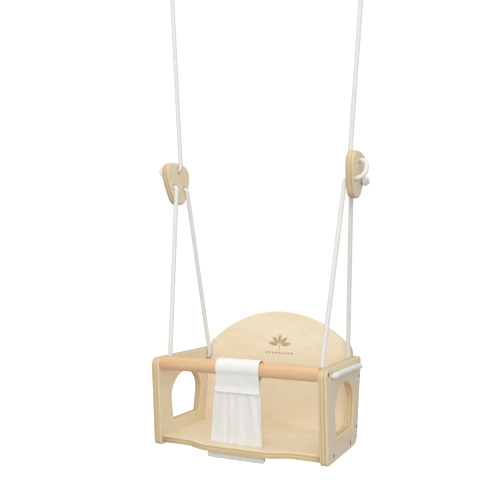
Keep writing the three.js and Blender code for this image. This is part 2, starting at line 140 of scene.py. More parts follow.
# ---- node trees -------------------------------------------------------------------------------
class Finish:
    """A node material, built up from a Principled shader."""

    def __init__(self, name, **sockets):
        self.material = bpy.data.materials.new(name)
        self.material.use_nodes = True
        self.tree = self.material.node_tree
        self.shader = self.tree.nodes["Principled BSDF"]
        for socket, value in sockets.items():
            self.shader.inputs[socket.replace("_", " ")].default_value = value
        self.place = self.node("ShaderNodeTexCoord").outputs["Object"]

    def node(self, kind, **settings):
        made = self.tree.nodes.new(kind)
        for name, value in settings.items():
            setattr(made, name, value)
        return made

    def put(self, value, socket):
        if isinstance(value, bpy.types.NodeSocket):
            self.tree.links.new(value, socket)
        else:
            socket.default_value = value

    def math(self, operation, *values, clamp=False):
        made = self.node("ShaderNodeMath", operation=operation, use_clamp=clamp)
        for value, socket in zip(values, made.inputs):
            self.put(value, socket)
        return made.outputs[0]

    def plus(self, first, second, clamp=False):
        return self.math("ADD", first, second, clamp=clamp)

    def minus(self, first, second):
        return self.math("SUBTRACT", first, second)

    def times(self, first, second):
        return self.math("MULTIPLY", first, second)

    def length(self, across, up):
        return self.math("SQRT", self.plus(self.times(across, across), self.times(up, up)))

    def split(self, vector):
        made = self.node("ShaderNodeSeparateXYZ")
        self.put(vector, made.inputs[0])
        return list(made.outputs)

    def joined(self, x, y, z):
        made = self.node("ShaderNodeCombineXYZ")
        for value, socket in zip((x, y, z), made.inputs):
            self.put(value, socket)
        return made.outputs[0]

    def scaled(self, vector, factors):
        made = self.node("ShaderNodeVectorMath", operation="MULTIPLY")
        self.put(vector, made.inputs[0])
        self.put(factors, made.inputs[1])
        return made.outputs[0]

    def noise(self, vector, scale, detail=2.0, roughness=0.5, distortion=0.0):
        made = self.node("ShaderNodeTexNoise")
        values = {"Vector": vector, "Scale": scale, "Detail": detail,
                  "Roughness": roughness, "Distortion": distortion}
        for socket, value in values.items():
            self.put(value, made.inputs[socket])
        return made.outputs["Fac"]

    def grained(self, vector, factors, detail=2.0, roughness=0.5, distortion=0.0):
        """Noise drawn out by a factor of its own along x, y and z."""
        return self.noise(self.scaled(vector, factors), 1.0, detail, roughness, distortion)

    def remap(self, value, low, high, to_low=0.0, to_high=1.0):
        made = self.node("ShaderNodeMapRange", interpolation_type="SMOOTHSTEP")
        for given, socket in zip((value, low, high, to_low, to_high), made.inputs):
            self.put(given, socket)
        return made.outputs[0]

    def mix(self, factor, first, second, blend="MIX"):
        made = self.node("ShaderNodeMix", data_type="RGBA", blend_type=blend)
        sockets = (made.inputs[0], made.inputs[6], made.inputs[7])
        for value, socket in zip((factor, first, second), sockets):
            self.put(value, socket)
        return made.outputs[2]

    def attribute(self, name):
        return self.node("ShaderNodeAttribute", attribute_name=name).outputs["Fac"]

    def bump(self, height, distance, strength=1.0, under=None):
        made = self.node("ShaderNodeBump")
        made.inputs["Strength"].default_value = strength
        made.inputs["Distance"].default_value = distance
        self.put(height, made.inputs["Height"])
        if under is not None:
            self.put(under, made.inputs["Normal"])
        self.put(made.outputs[0], self.shader.inputs["Normal"])
        return made.outputs[0]

    def wear(self, colour, roughness=None):
        self.put(colour, self.shader.inputs["Base Color"])
        if roughness is not None:
            self.put(roughness, self.shader.inputs["Roughness"])


def rgb(red, green, blue):
    return (red, green, blue, 1.0)


# ---- wood -------------------------------------------------------------------------------------
BIRCH = rgb(0.83, 0.70, 0.50)
BIRCH_PALE = rgb(0.865, 0.76, 0.58)
BIRCH_WARM = rgb(0.80, 0.64, 0.44)
PLY_LIGHT = rgb(0.77, 0.615, 0.385)
PLY_DARK = rgb(0.56, 0.395, 0.205)
BURNT = rgb(0.36, 0.21, 0.085)
BEECH_PALE = rgb(0.80, 0.545, 0.315)
BEECH_DEEP = rgb(0.72, 0.455, 0.235)
BEECH_STREAK = rgb(0.62, 0.36, 0.17)
BEECH_FLECK = rgb(0.44, 0.23, 0.10)
# painted shade: the grey that the rope's colour takes in the braid's grooves
ROPE_GROOVE_SHADE = rgb(0.62, 0.61, 0.59)
ROPE_CROWN = rgb(0.81, 0.805, 0.785)
ROPE_DRIFT = rgb(0.76, 0.75, 0.72)
ROPE_FIBRE = rgb(0.70, 0.69, 0.66)
CANVAS_PALE = rgb(0.885, 0.875, 0.85)
CANVAS_THREAD = rgb(0.83, 0.82, 0.79)
CANVAS_WEAVE = rgb(0.68, 0.67, 0.64)
CANVAS_DRIFT = rgb(0.85, 0.84, 0.81)
THREAD_PALE = rgb(0.80, 0.79, 0.765)
THREAD_DARK = rgb(0.66, 0.645, 0.61)


def veneer(finish, grain):
    """Pale sliced birch: drifting warm patches, long fine streaks and a few short pores."""
    patches = finish.grained(grain, (3.0, 9.0, 9.0), 2.0, 0.55, 0.4)
    streaks = finish.grained(grain, (9.0, 210.0, 120.0), 3.0, 0.6, 0.25)
    ripples = finish.grained(grain, (16.0, 44.0, 40.0), 2.0, 0.5, 1.2)
    pores = finish.grained(grain, (150.0, 1500.0, 900.0), 1.0)
    colour = finish.mix(finish.remap(patches, 0.35, 0.68), BIRCH_PALE, BIRCH)
    colour = finish.mix(finish.remap(ripples, 0.5, 0.78, 0.0, 0.55), colour, BIRCH_WARM)
    colour = finish.mix(finish.remap(streaks, 0.5, 0.8, 0.0, 0.5), colour, BIRCH_WARM)
    colour = finish.mix(finish.remap(pores, 0.68, 0.8, 0.0, 0.35), colour, PLY_DARK)
    return colour, streaks, pores


def plies(finish, grain, depth, layers, thickness):
    """The edge of the board: alternate layers of long grain and end grain, with fine glue lines."""
    level = finish.math("DIVIDE", depth, thickness / layers)
    waver = finish.grained(grain, (22.0, 22.0, 0.0))
    level = finish.plus(level, finish.times(finish.minus(waver, 0.5), 0.16))
    index = finish.math("FLOOR", level)
    tone = finish.node("ShaderNodeTexWhiteNoise", noise_dimensions="1D")
    finish.put(index, tone.inputs["W"])
    odd = finish.math("PINGPONG", index, 1.0)
    streaks = finish.grained(grain, (60.0, 60.0, 900.0), 3.0, 0.65)
    darkness = finish.plus(finish.times(odd, 0.62), finish.times(tone.outputs["Value"], 0.22))
    darkness = finish.plus(darkness, finish.remap(streaks, 0.35, 0.75, -0.14, 0.2), clamp=True)
    within = finish.math("FRACT", level)
    glue = finish.times(finish.remap(within, 0.0, 0.07, 1.0, 0.0), 0.45)
    colour = finish.mix(darkness, PLY_LIGHT, PLY_DARK)
    return finish.mix(glue, colour, PLY_DARK)


def leaf(finish, x, y, centre, angle, length, width):
    """How far inside a pointed leaf a place is: two circles that cross, centred and turned."""
    bow = (length * length + width * width) / (4 * width)
    cosine, sine = math.cos(angle), math.sin(angle)
    across_x = finish.minus(x, centre[0])
    across_y = finish.minus(y, centre[1])
    along = finish.plus(finish.times(across_x, cosine), finish.times(across_y, sine))
    beside = finish.minus(finish.times(across_y, cosine), finish.times(across_x, sine))
    beside = finish.plus(finish.math("ABSOLUTE", beside), bow - width / 2)
    return finish.minus(bow, finish.length(along, beside))


MOTIF_X = 4 * MM                          # the sprig's place on the back panel
MOTIF_Y = 205.5 * MM
LEAF_WIDTH = 8.2 * MM
DOT_RADIUS = 2.3 * MM
DOT_SPACING = 4 * MM                      # half of the distance from dot to dot
DOT_ROW_DROP = 17.5 * MM
DOT_ROW_HALF = 35 * MM


def burnt_sprig(finish, grain):
    """A plain burnt ornament: five leaves fanned on a short stem, over a row of dots."""
    x, y, _ = finish.split(grain)
    x = finish.minus(x, MOTIF_X)
    y = finish.minus(y, MOTIF_Y)
    inside = None
    for degrees, length in ((90, 22), (48, 23), (132, 23), (12, 25), (168, 25)):
        angle = math.radians(degrees)
        centre = [(4 + length / 2) * MM * part for part in (math.cos(angle), math.sin(angle))]
        one = leaf(finish, x, y, centre, angle, length * MM, LEAF_WIDTH)
        inside = one if inside is None else finish.math("MAXIMUM", inside, one)
    stem = leaf(finish, x, y, (0, -4 * MM), math.pi / 2, 15 * MM, 2.4 * MM)
    inside = finish.math("MAXIMUM", inside, stem)
    beat = finish.math("PINGPONG", finish.math("ABSOLUTE", x), DOT_SPACING)
    drop = finish.plus(y, DOT_ROW_DROP)
    spot = finish.minus(DOT_RADIUS, finish.length(beat, drop))
    ends = finish.math("LESS_THAN", finish.math("ABSOLUTE", x), DOT_ROW_HALF)
    spot = finish.times(finish.plus(spot, 1.0), ends)
    spot = finish.minus(spot, 1.0)
    return finish.math("MAXIMUM", inside, spot)


def birch_ply(name, thickness, layers, motif=False):
    """Birch plywood for a board whose own z runs through its thickness, and x along the grain."""
    finish = Finish(name, Roughness=0.5, Coat_Weight=0.12, Coat_Roughness=0.35)
    grain = finish.place
    face, streaks, pores = veneer(finish, grain)
    _, _, z = finish.split(grain)
    depth = finish.math("ABSOLUTE", z)
    edge = plies(finish, grain, depth, layers, thickness)
    skin = 0.95 * MM
    from_faces = finish.math("MINIMUM", depth, finish.minus(thickness, depth))
    buried = finish.remap(from_faces, skin * 0.85, skin)
    colour = finish.mix(buried, face, edge)
    height = finish.minus(streaks, finish.times(pores, 0.6))
    roughness = finish.remap(streaks, 0.3, 0.8, 0.42, 0.56)
    if motif:
        inside = burnt_sprig(finish, grain)
        front = finish.math("GREATER_THAN", depth, thickness * 0.9)
        smoke = finish.grained(grain, (900.0, 900.0, 900.0), 2.0)
        edge_wander = finish.times(finish.minus(smoke, 0.5), 0.5 * MM)
        mark = finish.remap(finish.plus(inside, edge_wander), -0.15 * MM, 0.35 * MM)
        halo = finish.remap(inside, -2.4 * MM, 0.3 * MM, 0.0, 0.22)
        strength = finish.times(finish.math("MAXIMUM", mark, halo), front)
        strength = finish.times(strength, finish.remap(smoke, 0.3, 0.7, 0.62, 0.86))
        colour = finish.mix(strength, colour, BURNT)
        height = finish.minus(height, finish.times(mark, 1.4))
    finish.wear(colour, roughness)
    finish.bump(height, 0.12 * MM, 0.5)
    return finish.material


def beech_wood(name, axis_scale=(1.0, 1.0, 1.0)):
    """Steamed beech: peach brown, soft streaks along x and the short dark flecks of its rays."""
    finish = Finish(name, Roughness=0.42, Coat_Weight=0.25, Coat_Roughness=0.3)
    grain = finish.scaled(finish.place, axis_scale)
    bands = finish.grained(grain, (3.5, 60.0, 60.0), 3.0, 0.6, 0.5)
    streaks = finish.grained(grain, (14.0, 420.0, 420.0), 2.0, 0.6)
    flecks = finish.grained(grain, (210.0, 1300.0, 1300.0), 1.0)
    colour = finish.mix(finish.remap(bands, 0.32, 0.7), BEECH_PALE, BEECH_DEEP)
    colour = finish.mix(finish.remap(streaks, 0.45, 0.8, 0.0, 0.4), colour, BEECH_STREAK)
    colour = finish.mix(finish.remap(flecks, 0.64, 0.74, 0.0, 0.5), colour, BEECH_FLECK)
    finish.wear(colour, finish.remap(streaks, 0.3, 0.8, 0.36, 0.5))
    finish.bump(finish.minus(streaks, flecks), 0.1 * MM, 0.45)
    return finish.material


# ---- cloth, rope and metal --------------------------------------------------------------------
def cotton_rope(name):
    """Soft braided cotton: off-white with a fine fuzz of fibres, and painted shade that greys the
    colour in the braid's grooves.
    """
    finish = Finish(name, Roughness=0.9, Sheen_Weight=0.35, Sheen_Roughness=0.5)
    groove = finish.attribute("groove")
    fibres = finish.noise(finish.place, 2600.0, 3.0, 0.7)
    drift = finish.noise(finish.place, 30.0, 2.0)
    # painted shade: the braid's relief, 0 in a groove and 1 on a crown, greys the colour in its
    # grooves
    colour = finish.mix(finish.remap(groove, 0.0, 0.75), ROPE_GROOVE_SHADE, ROPE_CROWN)
    colour = finish.mix(finish.remap(drift, 0.4, 0.75, 0.0, 0.35), colour, ROPE_DRIFT)
    colour = finish.mix(finish.remap(fibres, 0.5, 0.85, 0.0, 0.3), colour, ROPE_FIBRE)
    finish.wear(colour)
    finish.bump(fibres, 0.25 * MM, 0.6)
    return finish.material


def canvas(name):
    """Plain-woven cotton canvas, its threads 0.55 mm apart, with slubs and a soft nap."""
    finish = Finish(name, Roughness=0.95, Sheen_Weight=0.3, Sheen_Roughness=0.5)
    x, _, _ = finish.split(finish.place)
    along = finish.attribute("along")
    pitch = 0.55 * MM
    warp = finish.math("SINE", finish.times(x, 2 * math.pi / pitch))
    weft = finish.math("SINE", finish.times(along, 2 * math.pi / pitch))
    weave = finish.times(warp, weft)
    fine, coarse = 700.0, 30.0
    slubs = finish.joined(finish.times(x, coarse), finish.times(along, fine), 0.0)
    ends = finish.joined(finish.times(x, fine), finish.times(along, coarse), 7.0)
    slubs, ends = (finish.noise(place, 1.0, 3.0) for place in (slubs, ends))
    drift = finish.noise(finish.place, 22.0, 2.0)
    thread = finish.math("MAXIMUM", slubs, ends)
    colour = finish.mix(finish.remap(thread, 0.5, 0.8), CANVAS_PALE, CANVAS_THREAD)
    colour = finish.mix(finish.remap(weave, -0.2, 1.0, 0.0, 0.22), colour, CANVAS_WEAVE)
    colour = finish.mix(finish.remap(drift, 0.4, 0.75, 0.0, 0.3), colour, CANVAS_DRIFT)
    finish.wear(colour)
    height = finish.plus(finish.times(weave, 0.35), thread)
    finish.bump(height, 0.25 * MM, 0.5)
    return finish.material


def thread_cotton(name):
    """Waxed cotton thread."""
    finish = Finish(name, Roughness=0.75, Sheen_Weight=0.2)
    twist = finish.noise(finish.place, 3200.0, 2.0)
    colour = finish.mix(finish.remap(twist, 0.35, 0.75), THREAD_PALE, THREAD_DARK)
    finish.wear(colour)
    finish.bump(twist, 0.1 * MM, 0.5)
    return finish.material


def steel(name, colour, worn, base_roughness):
    """Metal with fine scratches, a little duller and darker in patches."""
    finish = Finish(name, Metallic=1.0)
    cloud = finish.noise(finish.place, 160.0, 3.0)
    scratches = finish.grained(finish.place, (300.0, 300.0, 2600.0), 3.0, 0.7)
    finish.wear(finish.mix(finish.remap(cloud, 0.4, 0.7), colour, worn),
                finish.remap(scratches, 0.3, 0.75, base_roughness, base_roughness + 0.18))
    finish.bump(scratches, 0.03 * MM, 0.35)
    return finish.material


PLY_18 = birch_ply("birch_ply_18", PANEL_THICKNESS, 5)
PLY_15 = birch_ply("birch_ply_15", BOARD, 5)
PLY_BACK = birch_ply("birch_ply_back", BOARD, 5, motif=True)
BEECH = beech_wood("beech")
ROPE = cotton_rope("cotton_rope")
CANVAS = canvas("cotton_canvas")
THREAD = thread_cotton("whipping_thread")
SCREW_STEEL = steel("screw_steel", rgb(0.24, 0.175, 0.12), rgb(0.14, 0.10, 0.07), 0.34)
RING_STEEL = steel("ring_steel", rgb(0.72, 0.73, 0.74), rgb(0.58, 0.59, 0.60), 0.2)


# ---- meshes -----------------------------------------------------------------------------------
def new_object(name, mesh, material, matrix=None):
    made = bpy.data.objects.new(name, mesh)
    bpy.context.scene.collection.objects.link(made)
    if matrix is not None:
        made.matrix_world = matrix
    mesh.materials.append(material)
    return made


def set_up(piece, body, slot, *nodes):
    """The piece rides on a body and stands for the CAD nodes."""
    if body is not None:
        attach(piece, body)
    if nodes:
        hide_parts(*nodes)


class Lofts:
    """Closed shells swept through rings of points, gathered into one mesh."""

    def __init__(self):
        self.points = []
        self.faces = []
        self.values = {}

    def add(self, rings, closed=False, **values):
        """rings is an array of rings x points x 3; closed joins the last ring to the first."""
        rings = np.asarray(rings, float)
        count, sides, _ = rings.shape
        first = len(self.points)
        self.points += [tuple(point) for point in rings.reshape(-1, 3)]
        for i in range(count if closed else count - 1):
            here, there = first + i * sides, first + (i + 1) % count * sides
            for j in range(sides):
                k = (j + 1) % sides
                self.faces.append((here + j, here + k, there + k, there + j))
        if not closed:
            self.faces.append(tuple(first + j for j in reversed(range(sides))))
            self.faces.append(tuple(first + (count - 1) * sides + j for j in range(sides)))
        for name, value in values.items():
            self.values.setdefault(name, []).extend(np.asarray(value, float).reshape(-1))

    def object(self, name, material, crease=40, matrix=None):
        mesh = bpy.data.meshes.new(name)
        mesh.from_pydata(self.points, [], self.faces)
        work = bmesh.new()
        work.from_mesh(mesh)
        bmesh.ops.recalc_face_normals(work, faces=work.faces)
        work.to_mesh(mesh)
        work.free()
        mesh.shade_smooth()
        mesh.set_sharp_from_angle(angle=math.radians(crease))
        for label, value in self.values.items():
            mesh.attributes.new(label, "FLOAT", "POINT").data.foreach_set("value", value)
        return new_object(name, mesh, material, matrix)


def turned_rings(profile, segments):
    """Rings round the x axis; each step of the profile is (along, radius), and a radius may be
    a function of the angle."""
    angles = [2 * math.pi * i / segments for i in range(segments)]
    rings = []
    for along, radius in profile:
        reach = [radius(angle) if callable(radius) else radius for angle in angles]
        rings.append([(along, r * math.cos(a), r * math.sin(a)) for r, a in zip(reach, angles)])
    return np.array(rings)


# ---- boards -----------------------------------------------------------------------------------
ROUND_STEPS = 6


def arc(centre, radius, start, end, steps):
    """Points on an arc or, with two radii, on an ellipse; degrees."""
    wide, high = radius if isinstance(radius, tuple) else (radius, radius)
    turns = [math.radians(start + (end - start) * i / steps) for i in range(steps + 1)]
    return [Vector((centre[0] + wide * math.cos(t), centre[1] + high * math.sin(t))) for t in turns]


def bezier(*controls, steps=14):
    """Points on a Bezier curve of any degree, without its last point."""
    points = []
    for i in range(steps):
        level = [Vector(control) for control in controls]
        while len(level) > 1:
            level = [a.lerp(b, i / steps) for a, b in zip(level, level[1:])]
        points.append(level[0])
    return points


def rounded(corners):
    """A polygon whose corners (x, y, radius) are rounded off."""
    points = []
    for i, (x, y, radius) in enumerate(corners):
        here = Vector((x, y))
        before = Vector(corners[i - 1][:2]) - here
        after = Vector(corners[(i + 1) % len(corners)][:2]) - here
        start, end = here + before.normalized() * radius, here + after.normalized() * radius
        points += [*bezier(start, here, end, steps=10), end]
    return points


def rounded_edge(radius, thickness):
    """Both edges of a board rounded over: steps of (inset, height, tilt of the surface)."""
    steps = []
    for base, signs in ((thickness - radius, (1, 0)), (radius, (0, -1))):
        for i in range(ROUND_STEPS + 1):
            tilt = math.pi / 2 * (signs[0] + (signs[1] - signs[0]) * i / ROUND_STEPS)
            steps.append((radius * (1 - math.cos(tilt)), base + radius * math.sin(tilt), tilt))
    return steps


SCREW_HEAD_RADIUS = 4.6 * MM
SCREW_SHANK_RADIUS = 2.5 * MM
SCREW_CLEARANCE = 0.35 * MM
SCREW_HEAD_TOP = -0.8 * MM
SCREW_HEAD_FOOT = -3.8 * MM
SCREW_TIP = -40 * MM


def screw_pocket(soft, thickness):
    """From the outer face: a softened rim, the head's recess, its floor and the shank's hole."""
    floor = thickness + SCREW_HEAD_FOOT - SCREW_CLEARANCE
    neck = SCREW_SHANK_RADIUS - SCREW_HEAD_RADIUS
    up = math.pi / 2
    return [
        (soft, thickness, up), (soft * 0.3, thickness - soft * 0.3, up / 2),
        (0, thickness - soft, 0), (0, floor, 0), (0, floor, up), (neck, floor, up),
        (neck, floor, 0), (neck, 0, 0),
    ]


def board(name, material, contours, thickness, matrix, side=1, warp=None):
    """A board from its contours, the first its outline (anticlockwise) and the rest its holes
    (clockwise); each is (points, profile, radius), the radius a number or a function of a point.
    Its own z runs through it, from 0 to the thickness, or to minus that on the left-hand side."""
    points, faces, normals = [], [], []
    caps = [[], []]
    for outline, profile, radius in contours:
        count = len(outline)
        inward, reach = [], []
        for i, point in enumerate(outline):
            one = (point - outline[i - 1]).normalized()
            two = (outline[(i + 1) % count] - point).normalized()
            turn = (one + two).normalized()
            inward.append(Vector((-turn.y, turn.x)))
            reach.append(1 / max(0.4, turn.dot(one)))
        columns = [profile(radius(p) if callable(radius) else radius, thickness) for p in outline]
        rings, tilts = [], []
        for step in range(len(columns[0])):
            same = step and all(c[step][:2] == c[step - 1][:2] for c in columns)
            if same:
                rings.append(rings[-1])
            else:
                rings.append(range(len(points), len(points) + count))
                for i, column in enumerate(columns):
                    flat = outline[i] + inward[i] * (column[step][0] * reach[i])
                    points.append((flat.x, flat.y, column[step][1]))
            tilts.append([
                (-n.x * math.cos(c[step][2]), -n.y * math.cos(c[step][2]), math.sin(c[step][2]))
                for n, c in zip(inward, columns)
            ])
        for step in range(len(rings) - 1):
            upper, lower = rings[step], rings[step + 1]
            if upper == lower:
                continue
            for i in range(count):
                j = (i + 1) % count
                faces.append((upper[i], lower[i], lower[j], upper[j]))
                normals += [tilts[step][i], tilts[step + 1][i], tilts[step + 1][j], tilts[step][j]]
        caps[0].append(rings[0])
        caps[1].append(rings[-1])
    for loops, facing in ((caps[0], 1), (caps[1], -1)):
        flat = [index for loop in loops for index in loop]
        for triangle in tessellate_polygon([[Vector(points[i]) for i in loop] for loop in loops]):
            a, b, c = (Vector(points[flat[i]]) for i in triangle)
            if (b - a).cross(c - a).z * facing < 0:
                triangle = triangle[::-1]
            faces.append(tuple(flat[i] for i in triangle))
            normals += [(0, 0, facing)] * 3
    if side < 0:
        points = [(x, y, -z) for x, y, z in points]
        turned, start = [], 0
        for face in faces:
            corners = normals[start:start + len(face)]
            turned += [(x, y, -z) for x, y, z in reversed(corners)]
            start += len(face)
        normals = turned
        faces = [face[::-1] for face in faces]
    if warp is not None:
        points = [warp(*point) for point in points]
    mesh = bpy.data.meshes.new(name)
    mesh.from_pydata(points, [], faces)
    mesh.shade_smooth()
    mesh.normals_split_custom_set(normals)
    return new_object(name, mesh, material, matrix)


def hole(x, y, radius, profile, edge, steps=32):
    """A round hole's contour, clockwise."""
    return arc((x, y), radius, 360, 360 / steps, steps - 1), profile, edge


def rope_holes(places):
    return [hole(x, y, ROPE_HOLE_RADIUS, rounded_edge, ROPE_HOLE_FLARE) for x, y in places]


def outwards(x):
    """Turns a board so that its own x is front to back, y is up, and z is outwards, from x on."""
    return Matrix(((0, 0, 1, x), (1, 0, 0, 0), (0, 1, 0, 0), (0, 0, 0, 1)))


EDGE_ROUND = 3 * MM
CRISP_EDGE = 0.4 * MM                     # where two boards meet, and round a screw


def side_panel(name, side):
    outline = rounded([
        (PANEL_FOOT[0], 0, 12 * MM), (PANEL_FOOT[1], 0, 25 * MM),
        (PANEL_HEAD[1], PANEL_HEIGHT, 15 * MM), (PANEL_HEAD[0], PANEL_HEIGHT, 20 * MM),
    ])
    arch = arc(WINDOW_SPRING, WINDOW_REACH, 180, 0, 48)
    front, rear, low = WINDOW_FOOT
    foot_rear, foot_front = Vector((rear, low)), Vector((front, low))
    corner = 5 * MM
    window = list(arch)
    for foot, after in ((foot_rear, foot_front), (foot_front, arch[0])):
        toward = (window[-1] - foot).normalized() * corner
        onward = (after - foot).normalized() * corner
        window += [*bezier(foot + toward, foot, foot + onward, steps=8), foot + onward]
    contours = [(outline, rounded_edge, EDGE_ROUND), (window, rounded_edge, 2.4 * MM)]
    contours += rope_holes(PANEL_HOLES)
    pocket = SCREW_HEAD_RADIUS + SCREW_CLEARANCE
    contours += [hole(y, z, pocket, screw_pocket, CRISP_EDGE, 24) for y, z in SCREWS.values()]
    place = IN_BOX @ outwards(side * INNER_X)
    panel = board(f"{name}_panel_ply", PLY_18, contours, PANEL_THICKNESS, place, side)
    set_up(panel, "seat", "birch_ply", f"{name}_side_panel")


def seat():
    foot = SEAT_TOP - BOARD
    rear = reclined_y(foot, BOARD) - GAP
    bulge = SEAT_FRONT - SEAT_BULGE
    wide, shoulder, hollow, crown, flat = (d * MM for d in (128, 100, 92, 58, 30))
    outline = [Vector((-BOARD_HALF, rear)), Vector((-BOARD_HALF, SEAT_FRONT + 4 * MM)),
               Vector((-BOARD_HALF, SEAT_FRONT))]
    flank = [(wide, SEAT_FRONT), (shoulder, SEAT_FRONT), (hollow, bulge), (crown, bulge)]
    outline += bezier(*[(-x, y) for x, y in flank])
    outline += [Vector((-crown, bulge)), Vector((-flat, bulge)), Vector((flat, bulge))]
    outline += bezier(*reversed(flank))
    outline += [Vector((wide, SEAT_FRONT)), Vector((BOARD_HALF, SEAT_FRONT)),
                Vector((BOARD_HALF, SEAT_FRONT + 4 * MM)), Vector((BOARD_HALF, rear))]
    reach = SLOT_HALF_LENGTH - SLOT_HALF_WIDTH
    slot = [*arc((SLOT_X + reach, SLOT_Y), SLOT_HALF_WIDTH, 90, -90, 14),
            *arc((SLOT_X - reach, SLOT_Y), SLOT_HALF_WIDTH, 270, 90, 14)]

    def softness(point):
        return CRISP_EDGE if point.y > SEAT_FRONT + 3 * MM else 2.8 * MM

    def plane_rear(x, y, z):
        near = unit((y - (rear - 6 * MM)) / (5 * MM))
        return (x, y + near * z * math.tan(RECLINE), z)

    contours = [(outline, rounded_edge, softness), (slot, rounded_edge, 2 * MM)]
    place = IN_BOX @ Matrix.Translation((0, 0, foot))
    piece = board("seat_ply", PLY_15, contours, BOARD, place, warp=plane_rear)
    set_up(piece, "seat", "birch_ply", "seat_board")


def back():
    foot = SEAT_TOP - BOARD
    centre = BACK_TOP - BACK_ARCH_RADIUS
    cheek = BACK_SHOULDER_HEIGHT
    angle = math.degrees(math.acos(BACK_SHOULDER / BACK_ARCH_RADIUS))
    arch = arc((0, centre), BACK_ARCH_RADIUS, angle, 180 - angle, 90)
    brow = arch[0].y + 1 * MM
    right = [Vector((BOARD_HALF, y)) for y in (foot, cheek - 12 * MM)]
    right += bezier((BOARD_HALF, cheek), (BOARD_HALF, brow), arch[0])
    left = bezier(arch[-1], (-BOARD_HALF, brow), (-BOARD_HALF, cheek))[1:]
    left += [Vector((-BOARD_HALF, y)) for y in (cheek, cheek - 12 * MM, foot)]

    def softness(point):
        return CRISP_EDGE if point.y < cheek - 10 * MM else EDGE_ROUND

    upright = Matrix.Rotation(math.pi / 2, 4, "X")
    place = (IN_BOX @ Matrix.Translation((0, PANEL_FOOT[1], 0)) @ Matrix.Rotation(-RECLINE, 4, "X")
             @ Matrix.Translation((0, -BACK_INSET, 0)) @ upright)
    contours = [(right + arch + left, rounded_edge, softness)]
    piece = board("back_ply", PLY_BACK, contours, BOARD, place)
    set_up(piece, "seat", "birch_ply", "back_panel")


def adjuster_plate(name, side):
    half = [
        ((0, 459.5), (35, 459.5), (50.5, 451), (50.5, 434.5)),
        ((50.5, 434.5), (50.5, 412), (37, 387.5), (26.5, 371)),
        ((26.5, 371), (20.5, 361.5), (10, 359.5), (0, 359.5)),
    ]
    mirrored = [[(-x, y) for x, y in reversed(curve)] for curve in reversed(half)]
    outline = []
    for curve in half + mirrored:
        outline += bezier(*[(x * MM, y * MM) for x, y in curve], steps=12)
    contours = [(outline[::-1], rounded_edge, 4.2 * MM)]
    contours += rope_holes(PLATE_HOLES)
    place = leaning(side) @ outwards(side * PLATE_FACE)
    piece = board(f"{name}_plate_ply", PLY_18, contours, PLATE_THICKNESS, place, side)
    set_up(piece, "adjusters", "birch_ply", f"{name}_adjuster_plate")


def dowel(name, radius, half, soft, material, node, centre):
    """A round rod along x with softened ends."""
    profile = [(-half, 0.2 * radius), (-half, radius - soft)]
    profile += [(-half + soft * (1 - math.cos(t)), radius - soft * (1 - math.sin(t)))
                for t in (math.pi / 8, math.pi / 4, math.pi * 3 / 8, math.pi / 2)]
    stretch = half - soft
    profile += [(stretch * i / 8, radius) for i in range(-7, 8)]
    profile += [(-along, r) for along, r in reversed(profile[:6])]
    lofts = Lofts()
    lofts.add(turned_rings(profile, 72))
    piece = lofts.object(name, material, matrix=Matrix.Translation(centre))
    set_up(piece, "seat", "beech", node)


def screw(name, side, place, label):
    """A socket-headed wood screw; the profile runs inwards from the head."""
    socket = 2.1 * MM

    def hexagon(angle):
        return socket / math.cos((angle + math.pi / 6) % (math.pi / 3) - math.pi / 6)

    head, shank, top, foot = SCREW_HEAD_RADIUS, SCREW_SHANK_RADIUS, SCREW_HEAD_TOP, SCREW_HEAD_FOOT
    profile = [
        (top - 2 * MM, 0.2 * socket), (top - 2 * MM, lambda a: hexagon(a) * 0.96),
        (top - 0.25 * MM, hexagon), (top, lambda a: hexagon(a) * 1.1), (top, head - 0.7 * MM),
        (top - 0.12 * MM, head - 0.3 * MM), (top - 0.45 * MM, head), (foot + 0.3 * MM, head),
        (foot, head - 0.3 * MM), (foot, shank), (-11 * MM, shank * 0.96),
    ]
    pitch, start, end, step = 2.6 * MM, -12 * MM, SCREW_TIP + 0.5 * MM, 0.43 * MM
    along = start
    while along > end:
        core = shank * min(0.78, 0.1 + 0.68 * (along - end) / (6 * MM))

        def thread(angle, along=along, core=core):
            wave = (along / pitch + side * angle / (2 * math.pi)) % 1
            ridge = max(0.0, 1 - abs(wave - 0.5) * 4)
            return core + ridge * 0.55 * MM * min(1.0, (along - end) / (5 * MM))

        profile.append((along, thread))
        along -= step
    profile.append((SCREW_TIP, 0.05 * MM))
    rings = turned_rings(profile, 24)
    rings[:, :, 0] *= side
    lofts = Lofts()
    lofts.add(rings)
    centre = IN_BOX @ Vector((side * (INNER_X + PANEL_THICKNESS), *place))
    piece = lofts.object(f"{name}_{label}_socket_screw", SCREW_STEEL, 30,
                         Matrix.Translation(centre))
    set_up(piece, "seat", "screw_steel", f"{name}_{label}_screw")


# ---- rope -------------------------------------------------------------------------------------
# Routes of the right-hand rope, in millimetres. The first is in the seat box.
PANEL_ROUTE = [
    (177, -85.3, 184.9), (176.9, -85.5, 183.4), (177.9, -86.5, 179.5), (181.2, -87.4, 176.2),
    (185.7, -87.5, 175), (196.3, -87.5, 175), (201.2, -86.3, 175.3), (205, -83, 176),
    (206.3, -78.5, 176.6), (206.3, -50, 176.8), (206.3, -22, 176.3), (206.3, 7, 175.7),
    (206.3, 36, 175), (206.3, 64, 174.3), (206.3, 92.6, 173), (205, 97.1, 172.2),
    (201.2, 100.4, 171.3),
    (196.3, 101.6, 171), (185.7, 101.6, 171), (181.2, 101.5, 172.2), (177.9, 101, 175.5),
    (176.6, 100.3, 179.4), (176.7, 100, 180.9),
]
